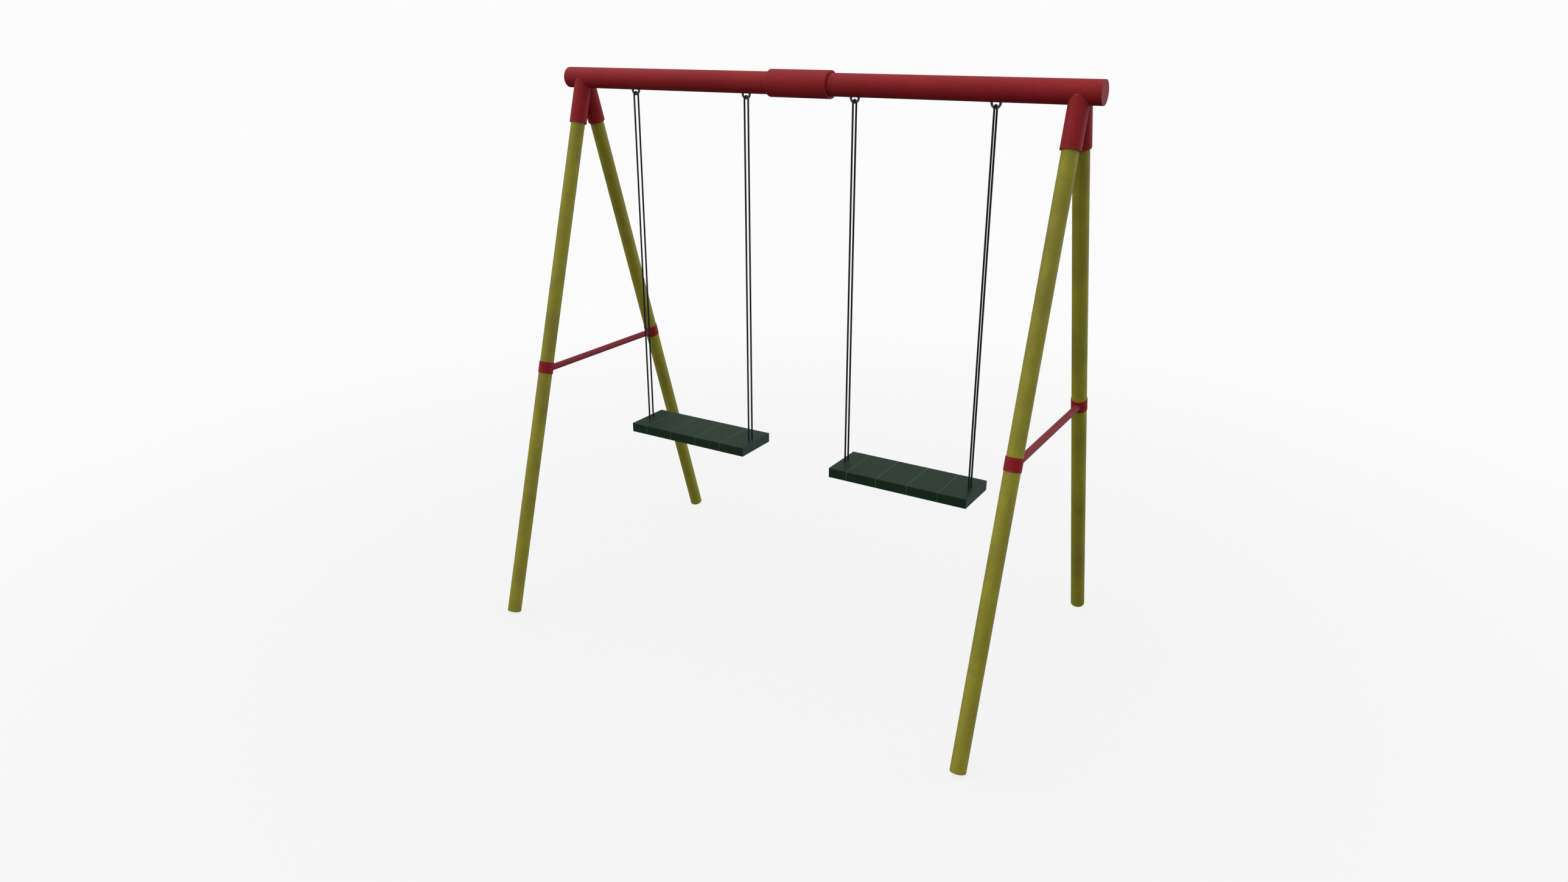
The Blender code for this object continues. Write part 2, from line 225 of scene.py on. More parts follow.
def add_piece(name, mesh, material, body, nodes, place=None):
    made = bpy.data.objects.new(name, mesh)
    if place is not None:
        made.matrix_world = place
    bpy.context.scene.collection.objects.link(made)
    if not mesh.materials:
        mesh.materials.append(material)
    normals = made.modifiers.new("flat faces stay flat", "WEIGHTED_NORMAL")
    normals.weight = 100
    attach(made, body)
    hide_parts(*nodes)
    return made


# Ropes ------------------------------------------------------------------------------------------------

def rope_sizes(side, tag):
    """The rope's place along X, its radius, and half the distance between its two strands."""
    low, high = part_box(f"rope_{side}_{tag}")
    radius = (high.x - low.x) / 2
    return (low.x + high.x) / 2, radius, (high.y - low.y) / 2 - radius


def rope_route(side, tag):
    """The rope's axis: up the front strand, half round over the eye and down the back strand."""
    low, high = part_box(f"rope_{side}_{tag}")
    x, radius, half_gap = rope_sizes(side, tag)
    bend = high.z - radius - half_gap
    straight = bend - low.z
    length = 2 * straight + math.pi * half_gap
    route = []
    for s in np.linspace(0, length, round(length / ROPE_RING) + 1):
        if s < straight:
            route.append((x, -half_gap, low.z + s))
        elif s > length - straight:
            route.append((x, half_gap, low.z + length - s))
        else:
            angle = (s - straight) / half_gap
            route.append((x, -half_gap * math.cos(angle), bend + half_gap * math.sin(angle)))
    return route, length, radius


def add_rope(side, tag, material):
    """A black rope of two sets of crossing strands."""
    route, length, radius = rope_route(side, tag)

    def groove(along, angle):
        turn = 2 * math.pi * along / BRAID_PITCH
        one = np.cos(BRAID_STRANDS * (angle + turn))
        other = np.cos(BRAID_STRANDS * (angle - turn))
        return (1 - np.maximum(one, other)) / 2

    def braid(along, angle):
        return radius + BRAID_RELIEF * (0.5 - groove(along, angle))

    mesh = sweep(f"rope_{side}_{tag}_braid", route, (1, 0, 0), braid, ROPE_SIDES, groove)
    made = add_piece(mesh.name, mesh, material, side + "_swing", [f"rope_{side}_{tag}"])


# Materials --------------------------------------------------------------------------------------------

class Nodes:
    """A material's node tree with short calls: each returns a node's output socket."""

    def __init__(self, name, roughness, metallic=0.0, specular=0.5):
        self.material = bpy.data.materials.new(name)
        self.material.use_nodes = True
        self.tree = self.material.node_tree
        self.shader = self.tree.nodes["Principled BSDF"]
        self.shader.inputs["Roughness"].default_value = roughness
        self.shader.inputs["Metallic"].default_value = metallic
        self.shader.inputs["Specular IOR Level"].default_value = specular
        self.place = self.tree.nodes.new("ShaderNodeTexCoord").outputs["Object"]
        self.seed = self.tree.nodes.new("ShaderNodeObjectInfo").outputs["Random"]

    def link(self, value, socket):
        if isinstance(value, bpy.types.NodeSocket):
            self.tree.links.new(value, socket)
        else:
            socket.default_value = value

    def stretched(self, scale):
        node = self.tree.nodes.new("ShaderNodeMapping")
        node.inputs["Scale"].default_value = scale
        self.link(self.place, node.inputs["Vector"])
        return node.outputs["Vector"]

    def noise(self, scale, detail=2.0, stretch=None):
        """Noise with a different pattern on every piece."""
        node = self.tree.nodes.new("ShaderNodeTexNoise")
        node.noise_dimensions = "4D"
        self.link(self.stretched(stretch) if stretch else self.place, node.inputs["Vector"])
        self.link(self.math("MULTIPLY", self.seed, SEED_SPREAD), node.inputs["W"])
        node.inputs["Scale"].default_value = scale
        node.inputs["Detail"].default_value = detail
        return node.outputs["Fac"]

    def cells(self, scale):
        node = self.tree.nodes.new("ShaderNodeTexVoronoi")
        self.link(self.place, node.inputs["Vector"])
        node.inputs["Scale"].default_value = scale
        return node.outputs["Distance"], node.outputs["Color"]

    def math(self, operation, a, b):
        node = self.tree.nodes.new("ShaderNodeMath")
        node.operation = operation
        self.link(a, node.inputs[0])
        self.link(b, node.inputs[1])
        return node.outputs["Value"]

    def span(self, value, low, high, to_low=0.0, to_high=1.0):
        node = self.tree.nodes.new("ShaderNodeMapRange")
        self.link(value, node.inputs["Value"])
        for name, number in (
            ("From Min", low), ("From Max", high), ("To Min", to_low), ("To Max", to_high)
        ):
            node.inputs[name].default_value = number
        return node.outputs["Result"]

    def mix(self, share, a, b):
        """a where share is 0, b where it is 1. A Mix node's sockets for colours are 6 and 7, and 2."""
        node = self.tree.nodes.new("ShaderNodeMix")
        node.data_type = "RGBA"
        self.link(share, node.inputs["Factor"])
        self.link(a, node.inputs[6])
        self.link(b, node.inputs[7])
        return node.outputs[2]

    def marked(self, colour, mark, scale, detail, low, high, amount, stretch=None):
        """colour with marks of another one, from none where the noise is low to amount where it is high."""
        share = self.span(self.noise(scale, detail, stretch), low, high, 0.0, amount)
        return self.mix(share, colour, mark)

    # the point attribute: rubbed edges, the painted highlight on the sockets' tips and the painted shade in
    # the rope's grooves
    def wear(self):
        node = self.tree.nodes.new("ShaderNodeAttribute")
        node.attribute_name = "wear"
        return node.outputs["Fac"]

    def worn(self, colour, paint_edge, amount):
        """colour with rubbed spots of paint_edge along the piece's edges; where the point attribute is
        above 1, as on the sockets' tips, the spots grow into a painted highlight.
        """
        spots = self.span(self.noise(140.0, 3.0), 0.40, 0.62)
        share = self.math("MULTIPLY", self.math("MULTIPLY", self.wear(), spots), amount)
        return self.mix(share, colour, paint_edge)

    def bump(self, height, distance, strength=1.0):
        node = self.tree.nodes.new("ShaderNodeBump")
        node.inputs["Distance"].default_value = distance
        node.inputs["Strength"].default_value = strength
        self.link(height, node.inputs["Height"])
        self.link(node.outputs["Normal"], self.shader.inputs["Normal"])

    def finish(self, colour, roughness=None):
        self.link(colour, self.shader.inputs["Base Color"])
        if roughness is not None:
            self.link(roughness, self.shader.inputs["Roughness"])
        return self.material


def red_paint(name, dark, light, streak):
    """Satin powder coat with long streaks and fine specks, rubbed lighter at the edges; the lighter colour
    on the sockets' tips is a painted highlight.
    """
    n = Nodes(name, 0.45, specular=0.16)
    patches = n.span(n.noise(11.0, 5.0), 0.35, 0.65)
    colour = n.mix(patches, dark, light)
    colour = n.marked(colour, streak, 1.0, 4.0, 0.52, 0.75, 0.30, (40.0, 40.0, 5.0))
    colour = n.marked(colour, streak, 170.0, 4.0, 0.44, 0.68, 0.45)
    colour = n.worn(colour, WORN_RED_AND_TIP_HIGHLIGHT, 0.25)
    n.bump(n.noise(620.0, 2.0), 0.00010)
    return n.finish(colour, n.span(patches, 0.0, 1.0, 0.43, 0.50))


def olive_paint():
    """Weathered satin paint: green and brown patches, streaks, blotches, specks and rings."""
    n = Nodes("olive_powder_coat", 0.5, specular=0.38)
    patches = n.span(n.noise(12.0, 5.0, (1.0, 1.0, 0.6)), 0.33, 0.67)
    colour = n.mix(patches, OLIVE_BROWN, OLIVE_GREEN)
    colour = n.marked(colour, OLIVE_STREAK, 1.0, 4.0, 0.50, 0.75, 0.30, (90.0, 90.0, 7.0))
    colour = n.marked(colour, OLIVE_BLOTCH, 38.0, 4.0, 0.52, 0.72, 0.32, (1.0, 1.0, 0.7))
    colour = n.marked(colour, OLIVE_SPECK, 150.0, 4.0, 0.44, 0.68, 0.34)
    colour = n.marked(colour, OLIVE_RING, 1.0, 3.0, 0.45, 0.72, 0.16, (14.0, 14.0, 260.0))
    colour = n.worn(colour, WORN_OLIVE, 0.25)
    n.bump(n.noise(520.0, 2.0), 0.00010)
    return n.finish(colour, n.span(patches, 0.0, 1.0, 0.55, 0.48))


def dark_steel():
    n = Nodes("dark_forged_steel", 0.42, metallic=0.35)
    patches = n.span(n.noise(160.0, 4.0), 0.35, 0.65)
    colour = n.mix(patches, STEEL_DARK, STEEL_LIGHT)
    n.bump(n.noise(900.0, 3.0), 0.00010)
    return n.finish(colour, n.span(patches, 0.0, 1.0, 0.36, 0.5))


def zinc_steel():
    n = Nodes("zinc_plated_steel", 0.34, metallic=1.0)
    distance, spangle = n.cells(420.0)
    grey = n.span(spangle, 0.0, 1.0, 0.36, 0.52)
    colour = n.mix(grey, ZINC_DARK, ZINC_LIGHT)
    n.bump(n.noise(700.0, 2.0), 0.00005)
    return n.finish(colour, n.span(distance, 0.0, 0.6, 0.28, 0.42))


def braided_rope():
    """Black polyester, with shade painted into the grooves between its carriers."""
    n = Nodes("black_braided_rope", 0.38, specular=0.5)
    fibres = n.noise(1.0, 3.0, (2600.0, 2600.0, 500.0))
    colour = n.mix(n.span(fibres, 0.35, 0.7), FIBRE_DARK, FIBRE_LIGHT)
    # the point attribute holds how deep each point lies in a groove: it paints shade there
    colour = n.mix(n.wear(), colour, FIBRE_GROOVE_SHADE)
    n.bump(fibres, 0.00005)
    return n.finish(colour, n.span(fibres, 0.3, 0.7, 0.36, 0.48))


def seat_rubber():
    """Dark green rubber pressed from fine granules."""
    n = Nodes("green_moulded_rubber", 0.42, specular=0.34)
    patches = n.span(n.noise(22.0, 4.0), 0.35, 0.65)
    colour = n.mix(patches, RUBBER_DARK, RUBBER_LIGHT)
    distance, granule = n.cells(900.0)
    flecks = n.span(granule, 0.86, 0.96, 0.0, 0.12)
    colour = n.mix(flecks, colour, RUBBER_FLECK)
    colour = n.worn(colour, WORN_RUBBER, 0.25)
    n.bump(distance, 0.00003, 0.4)
    return n.finish(colour, n.span(patches, 0.0, 1.0, 0.38, 0.46))


def seam_filler():
    n = Nodes("grey_seam_rubber", 0.50, specular=0.75)
    patches = n.span(n.noise(90.0, 3.0), 0.35, 0.65)
    colour = n.mix(patches, FILLER_DARK, FILLER_LIGHT)
    n.bump(n.noise(900.0, 2.0), 0.00008)
    return n.finish(colour)


# Turned pieces ----------------------------------------------------------------------------------------

def rounded(corners, radius, closed):
    """Rounds a profile of (radius, height) corners. Gives (radius, height, wear) rows."""
    points = [Vector(c) for c in corners]
    rows = []
    for i, corner in enumerate(points):
        if not closed and i in (0, len(points) - 1):
            rows.append((*corner, 0.0))
            continue
        into = corner - points[i - 1]
        out = points[(i + 1) % len(points)] - corner
        if into.length > 2 * WEAR_REACH:
            rows.append((*(corner - WEAR_REACH * into.normalized()), 0.0))
        start = corner - radius * into.normalized()
        end = corner + radius * out.normalized()
        for k in range(EDGE_STEPS + 1):
            t = k / EDGE_STEPS
            place = (1 - t) ** 2 * start + 2 * t * (1 - t) * corner + t ** 2 * end
            rows.append((*place, 1.0))
        if out.length > 2 * WEAR_REACH:
            rows.append((*(corner + WEAR_REACH * out.normalized()), 0.0))
    return rows


def turned(name, profile_at, closed, steps=STEPS):
    """Turns profile_at(angle), rows of (radius, height, wear) down the outer side, about Z."""
    columns = []
    for i in range(steps):
        angle = 2 * math.pi * i / steps
        column = [(r * math.cos(angle), r * math.sin(angle), z, w) for r, z, w in profile_at(angle)]
        columns.append(column)
    grid = np.array(columns).transpose(1, 0, 2)[::-1]
    return new_mesh(name, grid[..., :3], closed, grid[..., 3])


def tube_mesh(name, outer, inner, top, bottom, edge=EDGE):
    """A tube's skin, open through its bore."""
    corners = [(inner, top), (outer, top), (outer, bottom), (inner, bottom)]
    rows = rounded(corners, edge, True)
    return turned(name, lambda angle: rows, True)


def bar_mesh(name, radius, top, bottom, edge=EDGE, steps=STEPS):
    """A round bar with flat ends."""
    rows = rounded([(radius / 2, top), (radius, top), (radius, bottom), (radius / 2, bottom)], edge, False)
    return turned(name, lambda angle: rows, False, steps)


def along_x(x, y, z):
    return Matrix.Translation((x, y, z)) @ Matrix.Rotation(math.pi / 2, 4, "Y")


def add_beam(paint):
    """The sleeve, and at each side a tube whose cap runs on without a seam."""
    centre, size = middle_and_size("beam_sleeve")
    tube_centre, tube_size = middle_and_size("beam_tube_left")
    radius = tube_size.z / 2
    mesh = tube_mesh("sleeve", size.z / 2, radius + SLEEVE_GAP, size.x / 2, -size.x / 2)
    add_piece("beam_sleeve_painted", mesh, paint, "frame", ["beam_sleeve"],
              along_x(centre.x, centre.y, centre.z))
    for side in SIDES:
        low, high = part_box("beam_tube_" + side)
        cap_low, cap_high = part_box("beam_cap_" + side)
        joint, end = (low.x, cap_low.x) if side == "left" else (high.x, cap_high.x)
        outwards = Matrix.Rotation(-math.pi / 2 if side == "left" else math.pi / 2, 4, "Y")
        place = Matrix.Translation((0, tube_centre.y, tube_centre.z)) @ outwards
        bore = radius - BEAM_WALL
        rows = [
            (bore, abs(joint), 0.0), (radius, abs(joint), 0.0),
            (radius, 0.0, 0.0), (bore, 0.0, 0.0),
        ]
        mesh = turned("tube", lambda angle, rows=rows: rows, True)
        add_piece(f"beam_tube_{side}_painted", mesh, paint, "frame",
                  ["beam_tube_" + side], place)
        corners = [(radius / 2, abs(end)), (radius, abs(end)), (radius, abs(joint) + LIP)]
        rows = rounded(corners, EDGE, False) + [(radius - LIP, abs(joint), 0.0)]
        mesh = turned("cap", lambda angle, rows=rows: rows, False)
        add_piece(f"beam_cap_{side}_painted", mesh, paint, "frame",
                  ["beam_cap_" + side], place)


class Leg:
    """One leg's axis, from the apex down."""

    def __init__(self, side, end):
        self.tag = f"{end}_{side}"
        beam, beam_size = middle_and_size("beam_tube_left")
        centre, size = middle_and_size("leg_" + self.tag)
        self.beam_radius = beam_size.z / 2
        self.radius = size.x / 2
        self.apex = Vector((centre.x, 0, beam.z + APEX_ABOVE_BEAM))
        tilt = -LEG_TILT if end == "front" else LEG_TILT
        self.place = Matrix.Translation(self.apex) @ Matrix.Rotation(tilt, 4, "X")
        self.inwards = 1 if end == "front" else -1  # the way along Y to the twin leg

    def down(self, height, radius):
        """Distance down the axis of a square end whose lowest edge is at this height."""
        return (self.apex.z - height - radius * math.sin(LEG_TILT)) / math.cos(LEG_TILT)

    def start(self, height, radius):
        """Distance down the axis of a square end whose highest edge is at this height."""
        return self.down(height, -radius)

    def socket_top(self, angle, radius):
        """Distance down the axis at which a socket's wall leaves the beam or its twin socket."""
        y = self.inwards * radius * math.sin(angle)
        mitre = y / math.tan(LEG_TILT)
        offset = APEX_ABOVE_BEAM * math.sin(LEG_TILT) - y
        inside = math.sqrt(self.beam_radius ** 2 - offset ** 2)
        return max(SOCKET_TOP, mitre, APEX_ABOVE_BEAM * math.cos(LEG_TILT) + inside)


def add_leg(side, end, red, olive):
    leg = Leg(side, end)
    low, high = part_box("leg_" + leg.tag)
    foot = leg.down(low.z, leg.radius)
    top = leg.start(high.z, leg.radius)
    mesh = bar_mesh("leg", leg.radius, -top, -foot, FOOT_EDGE)
    add_piece(f"leg_{leg.tag}_painted", mesh, olive, "frame", ["leg_" + leg.tag], leg.place)
    add_collar(leg, red)
    add_socket(leg, red)


def add_collar(leg, paint):
    node = "leg_collar_" + leg.tag
    low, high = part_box(node)
    radius = (high.x - low.x) / 2
    bottom = leg.down(low.z, radius)
    top = leg.start(high.z, radius)
    mesh = tube_mesh("collar", radius, leg.radius - EMBED, -top, -bottom, COLLAR_EDGE)
    add_piece(node + "_painted", mesh, paint, "frame", [node], leg.place)


def add_socket(leg, paint):
    """A tube that is cut at the top to the beam's round and to its twin's mitre plane."""
    node = "leg_socket_" + leg.tag
    low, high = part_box(node)
    radius = (high.x - low.x) / 2
    inner = radius - SOCKET_WALL
    end = leg.down(low.z, radius)
    lower = rounded([(radius, -end / 2), (radius, -end), (inner, -end), (inner, -end / 2)], EDGE, False)

    def profile(angle):
        top = leg.socket_top(angle, radius)
        # at the tip the edge colour is raised to paint a highlight
        if top == SOCKET_TOP:
            inner_top, wear = top, TIP_PAINTED_HIGHLIGHT
        else:
            inner_top, wear = leg.socket_top(angle, inner), 1.0
        upper = [(radius, -top, wear), (radius, -top - LIP, wear), (radius, -top - WEAR_REACH, 0.0)]
        return [(inner, -inner_top, 0.0), *upper, *lower]

    add_piece(node + "_painted", turned("socket", profile, True), paint, "frame", [node],
              leg.place)


def add_brace(side, paint):
    node = "brace_" + side
    centre, size = middle_and_size(node)
    place = Matrix.Translation(centre) @ Matrix.Rotation(math.pi / 2, 4, "X")
    half = size.y / 2 + EMBED
    mesh = bar_mesh("brace", size.x / 2, half, -half)
    add_piece(node + "_painted", mesh, paint, "frame", [node], place)


def add_eye(side, tag, steel):
    """Half a ring of round bar, flared into its welds under the beam."""
    node = f"eye_{side}_{tag}"
    low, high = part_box(node)
    wire = (high.y - low.y) / 2
    ring = (high.x - low.x) / 2 - wire
    centre = Vector(((low.x + high.x) / 2, 0, low.z + wire + ring))
    stub = high.z - centre.z + EMBED
    route = [(-ring, 0, stub), (-ring, 0, stub / 2)]
    for i in range(EYE_STEPS + 1):
        angle = math.pi * (1 + i / EYE_STEPS)
        route.append((ring * math.cos(angle), 0, ring * math.sin(angle)))
    route += [(ring, 0, stub / 2), (ring, 0, stub)]
    length = math.pi * ring + 2 * stub

    def flared(along, angle):
        weld = np.exp(-np.minimum(along, length - along) / WELD_REACH)
        return wire * (1 + WELD_FLARE * weld) + 0 * angle

    mesh = sweep(node + "_steel", route, (0, 1, 0), flared, EYE_SIDES)
    add_piece(mesh.name, mesh, steel, "frame", [node], Matrix.Translation(centre))


def screw_mesh(radius, height):
    """A button head with a hexagon recess; its underside is at zero."""
    key = SCREW_KEY * radius
    floor = height - SCREW_KEY_DEPTH * height
    rim = SCREW_RIM * height
    dome_start = math.acos(SCREW_FLAT * SCREW_KEY)

    def profile(angle):
        hexagon = key / math.cos((angle % (math.pi / 3)) - math.pi / 6)
        rows = [(hexagon / 2, floor, 0.0), (hexagon, floor, 0.0), (hexagon, height, 1.0)]
        for k in range(1, SCREW_DOME_STEPS + 1):
            rise = dome_start * (1 - k / SCREW_DOME_STEPS)
            rows.append((radius * math.cos(rise), rim + (height - rim) * math.sin(rise), 0.0))
        rows += [(radius, 0.0, 0.0), (SCREW_UNDERSIDE * radius, 0.0, 0.0)]
        return rows

    return turned("button_head", profile, False, SCREW_STEPS)


def add_screws(zinc):
    """Button-head screws on the rear of the sleeve and sockets, at their CAD nodes."""
    nodes = [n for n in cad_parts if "screw" in n]
    shared = None
    for node in sorted(nodes):
        low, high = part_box(node)
        vertices = np.array([v.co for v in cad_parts[node].data.vertices])
        direction = Vector((0, 1, 0))
        if node.startswith("socket"):
            tilt = -LEG_TILT if "front" in node else LEG_TILT
            direction = Matrix.Rotation(tilt, 3, "X") @ direction
        heights = vertices @ np.array(direction)
        radius = (high.x - low.x) / 2
        underside = heights.max() - SCREW_HEIGHT
        middle = Vector(((low.x + high.x) / 2, *vertices[heights > underside][:, 1:].mean(0)))
        base = middle + direction * (underside - middle.dot(direction))
        if shared is None:
            shared = screw_mesh(radius, SCREW_HEIGHT)
        place = Matrix.Translation(base) @ direction.to_track_quat("Z", "Y").to_matrix().to_4x4()
        add_piece(node + "_head", shared, zinc, "frame", [node], place)


# Seats ------------------------------------------------------------------------------------------------

def outline(half_y, half_z, radius, inset):
    """A rounded rectangle's points and wear in the YZ plane, drawn in by inset."""
    points = []
    hy, hz, r = half_y - inset, half_z - inset, max(radius - inset, SHARPEST)
    reach = min(WEAR_REACH, (hy - r) / 2, (hz - r) / 2)
    for corner, (sy, sz) in enumerate(((1, 1), (-1, 1), (-1, -1), (1, -1))):
        start = math.pi / 2 * corner
        arc = [start + math.pi / 2 * k / EDGE_STEPS for k in range(EDGE_STEPS + 1)]
        cy, cz = sy * (hy - r), sz * (hz - r)
        before = Vector((math.cos(start - math.pi / 2), math.sin(start - math.pi / 2)))
        after = Vector((math.cos(start + math.pi), math.sin(start + math.pi)))
        first = Vector((cy + r * math.cos(arc[0]), cz + r * math.sin(arc[0])))
        last = Vector((cy + r * math.cos(arc[-1]), cz + r * math.sin(arc[-1])))
        points.append((*(first + reach * before), 0.0))
        points += [(cy + r * math.cos(a), cz + r * math.sin(a), 1.0) for a in arc]
        points.append((*(last + reach * after), 0.0))
    return points


def block_mesh(name, size, radius, low_edge, high_edge):
    """A rounded block about the origin; low_edge and high_edge round its ends along X."""
    sections = []
    for sign, edge in ((-1, low_edge), (1, high_edge)):
        arc = [math.pi / 2 * k / EDGE_STEPS for k in range(EDGE_STEPS + 1)]
        end = size.x / 2 - edge
        rounds = [(sign * (end + edge * math.sin(a)), edge * (1 - math.cos(a)), 1.0) for a in arc]
        flat = [(sign * (end - WEAR_REACH), 0.0, 0.0)] if size.x > 4 * WEAR_REACH else []
        sections += list(reversed(rounds)) + flat if sign < 0 else flat + rounds
    rows, wear = [], []
    for x, inset, worn in sections:
        ring = outline(size.y / 2, size.z / 2, radius, inset)
        end_wear = worn if (low_edge if x < 0 else high_edge) > SEAM_EDGE else 0.0
        rows.append([(x, y, z) for y, z, _ in ring])
        wear.append([max(end_wear, w) for _, _, w in ring])
    return new_mesh(name, rows, False, wear)


def strand_cutters(side, tag, middle, length):
    """Rods where the rope's two strands go through the seat."""
    x, _, half_gap = rope_sizes(side, tag)
    cutters = []
    for y in (-half_gap, half_gap):
        mesh = bar_mesh("strand_hole", HOLE_RADIUS, length / 2, -length / 2, STRIP_EDGE, HOLE_SIDES)
        rod = bpy.data.objects.new(mesh.name, mesh)
        rod.matrix_world = Matrix.Translation((x, y, middle))
        bpy.context.scene.collection.objects.link(rod)
        cutters.append(rod)
    return cutters


def bored(mesh, place, cutters):
    """The mesh with the cutters' holes through it. The cutters are used up."""
    block = bpy.data.objects.new("block", mesh)
    block.matrix_world = place
    bpy.context.scene.collection.objects.link(block)
    for cutter in cutters:
        boolean = block.modifiers.new("hole", "BOOLEAN")
        boolean.operation = "DIFFERENCE"
        boolean.object = cutter
    graph = bpy.context.evaluated_depsgraph_get()
    result = bpy.data.meshes.new_from_object(block.evaluated_get(graph))
    for extra in (block, *cutters):
        bpy.data.objects.remove(extra)
    return result


def add_blocks(side, rubber):
    """The seat's rubber blocks. The rope's strands go through the first and the last."""
    for number in range(1, BLOCKS + 1):
        node = f"seat_block_{side}_{number}"
        centre, size = middle_and_size(node)
        place = Matrix.Translation(centre)
        low_edge = SEAT_EDGE if number == 1 else SEAM_EDGE
        high_edge = SEAT_EDGE if number == BLOCKS else SEAM_EDGE
        mesh = block_mesh(node, size, SEAT_EDGE, low_edge, high_edge)
        if number in (1, BLOCKS):
            tag = "a" if number == 1 else "b"
            mesh = bored(mesh, place, strand_cutters(side, tag, centre.z, 2 * size.z))
        add_piece(node + "_rubber", mesh, rubber, side + "_swing", [node], place)


def add_strips(side, filler):
    """The thin lines between the blocks."""
    for number in range(1, BLOCKS):
        node = f"seat_strip_{side}_{number}"
        centre, size = middle_and_size(node)
        size.x = SEAM_WIDTH
        mesh = block_mesh(node, size, SEAT_EDGE, STRIP_EDGE, STRIP_EDGE)
        add_piece(node + "_filler", mesh, filler, side + "_swing", [node],
                  Matrix.Translation(centre))


def add_metal_block(side, node, name, edge, zinc):
    """The plate in a seat, or a stop under it."""
    centre, size = middle_and_size(node)
    mesh = block_mesh(node, size, edge, edge, edge)
    add_piece(name, mesh, zinc, side + "_swing", [node], Matrix.Translation(centre))


def add_seat(side, rubber, filler, zinc):
    add_blocks(side, rubber)
    add_strips(side, filler)
    core = "seat_core_" + side
    add_metal_block(side, core, core + "_plate", CORE_EDGE, zinc)
    for tag in TAGS:
        stop = f"rope_stop_{side}_{tag}"
        add_metal_block(side, stop, stop + "_block", STOP_EDGE, zinc)


# Stage ------------------------------------------------------------------------------------------------

def add_floor():
    """A pale floor that runs into the backdrop's white, away from the object. It takes soft shadows
    but throws no light back, because the world holds that light."""
    mesh = bpy.data.meshes.new("floor")
    reach = FLOOR_REACH
    mesh.from_pydata([(-reach, -reach, 0), (reach, -reach, 0), (reach, reach, 0), (-reach, reach, 0)],
                     [], [(0, 1, 2, 3)])
    floor = bpy.data.objects.new("floor", mesh)
    floor.location.z = -FLOOR_DROP
    floor.visible_diffuse = False
    floor.visible_glossy = False
    floor.visible_shadow = False
    bpy.context.scene.collection.objects.link(floor)
    material = bpy.data.materials.new("pale_floor")
    material.use_nodes = True
    tree = material.node_tree
    shader = tree.nodes["Principled BSDF"]
    shader.inputs["Base Color"].default_value = (FLOOR_WHITE, FLOOR_WHITE, FLOOR_WHITE, 1)
    shader.inputs["Roughness"].default_value = 1.0
    shader.inputs["Specular IOR Level"].default_value = 0.0
    glow = tree.nodes.new("ShaderNodeEmission")
    glow.inputs["Color"].default_value = BACKDROP
    place = tree.nodes.new("ShaderNodeTexCoord").outputs["Object"]
    distance = tree.nodes.new("ShaderNodeVectorMath")
    distance.operation = "LENGTH"
    tree.links.new(place, distance.inputs[0])
    share = tree.nodes.new("ShaderNodeMapRange")
    share.interpolation_type = "SMOOTHSTEP"
    share.inputs["From Min"].default_value = FLOOR_PLAIN
    share.inputs["From Max"].default_value = FLOOR_FADED
    share.inputs["To Min"].default_value = FLOOR_GLOW
    tree.links.new(distance.outputs["Value"], share.inputs["Value"])
    both = tree.nodes.new("ShaderNodeMixShader")
    tree.links.new(share.outputs["Result"], both.inputs[0])
    tree.links.new(shader.outputs[0], both.inputs[1])
    tree.links.new(glow.outputs[0], both.inputs[2])
    tree.links.new(both.outputs[0], tree.nodes["Material Output"].inputs["Surface"])
    mesh.materials.append(material)


def combined(tree, kind, operation, a, b):
    """A Math or VectorMath node's first output; a and b are sockets or values."""
    node = tree.nodes.new(kind)
    node.operation = operation
    for value, socket in zip((a, b), node.inputs):
        if isinstance(value, bpy.types.NodeSocket):
            tree.links.new(value, socket)
        else:
            socket.default_value = value
    return node.outputs["Value" if operation == "DOT_PRODUCT" else 0]


def scaled(tree, colour, factor):
    node = tree.nodes.new("ShaderNodeVectorMath")
    node.operation = "SCALE"
    node.inputs[0].default_value = colour
    tree.links.new(factor, node.inputs["Scale"])
    return node.outputs[0]


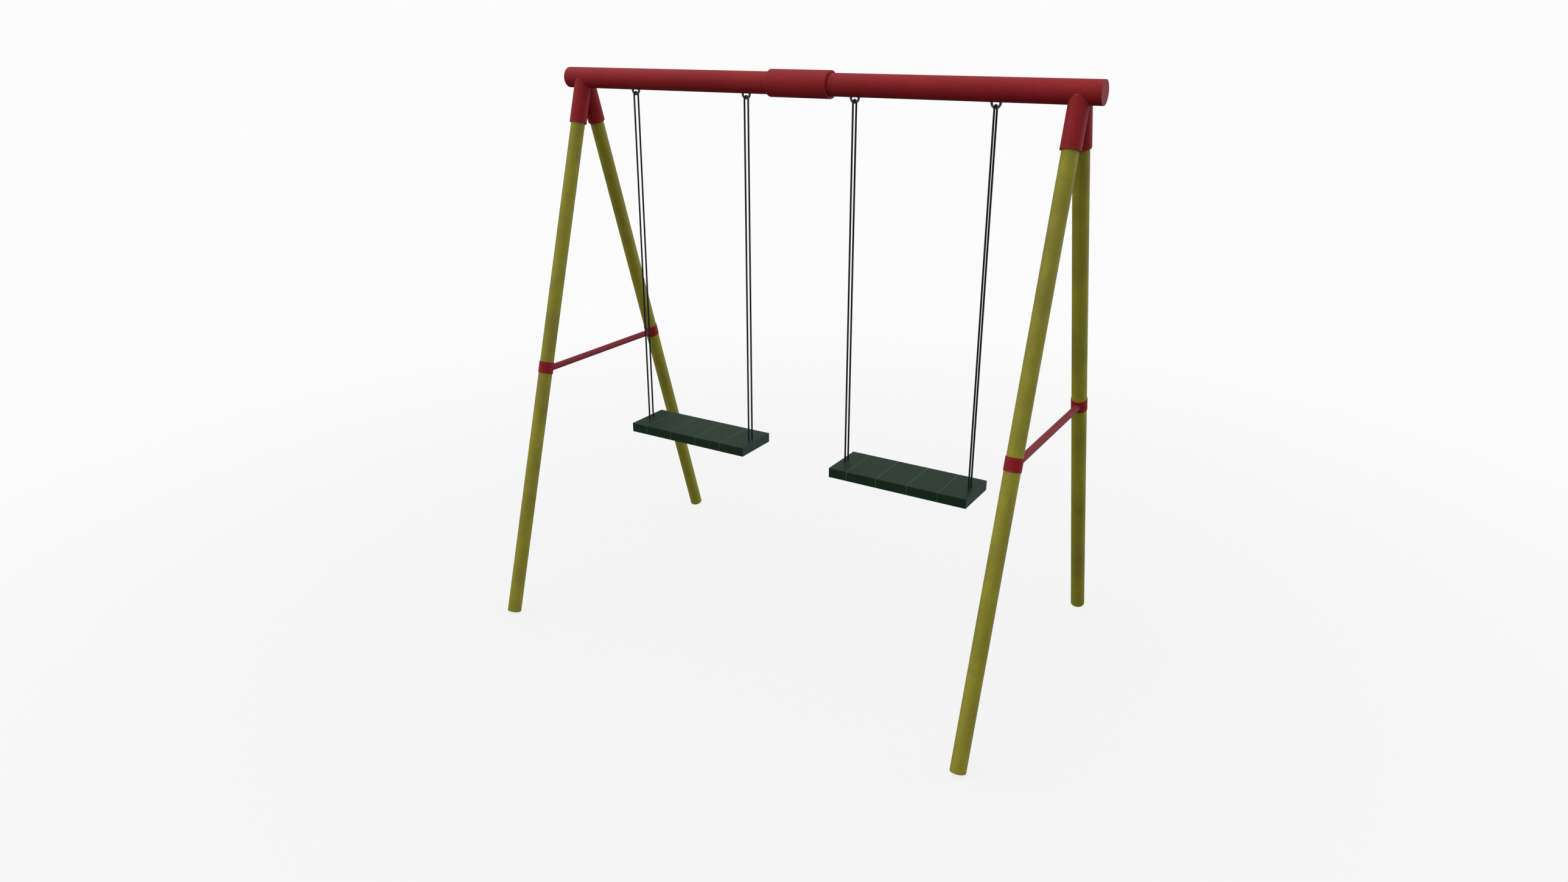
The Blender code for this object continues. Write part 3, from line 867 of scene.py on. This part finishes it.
def studio_light(tree):
    """Soft light: a sky that fades out downwards, and a few wide lobes."""
    direction = tree.nodes.new("ShaderNodeTexCoord").outputs["Generated"]
    height = combined(tree, "ShaderNodeVectorMath", "DOT_PRODUCT", direction, (0, 0, 0.5))
    height = combined(tree, "ShaderNodeMath", "ADD", height, 0.5)  # 0 straight down, 1 straight up
    total = scaled(tree, SKY, combined(tree, "ShaderNodeMath", "POWER", height, SKY_FALL))
    for azimuth, elevation, power, colour in LIGHT_LOBES:
        a, e = math.radians(azimuth), math.radians(elevation)
        axis = (math.sin(a) * math.cos(e), -math.cos(a) * math.cos(e), math.sin(e))
        facing = combined(tree, "ShaderNodeVectorMath", "DOT_PRODUCT", direction, axis)
        facing = combined(tree, "ShaderNodeMath", "MAXIMUM", facing, 0.0)
        lobe = scaled(tree, colour, combined(tree, "ShaderNodeMath", "POWER", facing, power))
        total = combined(tree, "ShaderNodeVectorMath", "ADD", total, lobe)
    return total


def add_world():
    """White behind the object, and the studio's light on it."""
    world = bpy.data.worlds.new("studio")
    bpy.context.scene.world = world
    world.use_nodes = True
    tree = world.node_tree
    lit = tree.nodes["Background"]
    tree.links.new(studio_light(tree), lit.inputs["Color"])
    seen = tree.nodes.new("ShaderNodeBackground")
    seen.inputs["Color"].default_value = BACKDROP
    path = tree.nodes.new("ShaderNodeLightPath")
    both = tree.nodes.new("ShaderNodeMixShader")
    tree.links.new(path.outputs["Is Camera Ray"], both.inputs[0])
    tree.links.new(lit.outputs[0], both.inputs[1])
    tree.links.new(seen.outputs[0], both.inputs[2])
    tree.links.new(both.outputs[0], tree.nodes["World Output"].inputs["Surface"])


add_camera()
ROPE = braided_rope()
for swing in SIDES:
    for strand in TAGS:
        add_rope(swing, strand, ROPE)
RED = red_paint("red_powder_coat", *RED_COLOURS)
# the crossbars' red is a paler, greyer copy of the red: painted sheen
SHEEN_RED = red_paint("faded_red_powder_coat", *SHEEN_RED_COLOURS)
OLIVE = olive_paint()
STEEL = dark_steel()
ZINC = zinc_steel()
RUBBER = seat_rubber()
FILLER = seam_filler()
add_beam(RED)
for swing in SIDES:
    for end_name in ENDS:
        add_leg(swing, end_name, RED, OLIVE)
    add_brace(swing, SHEEN_RED)
    for strand in TAGS:
        add_eye(swing, strand, STEEL)
    add_seat(swing, RUBBER, FILLER, ZINC)
add_screws(ZINC)
add_floor()
add_world()
bpy.context.scene.view_settings.view_transform = "Standard"
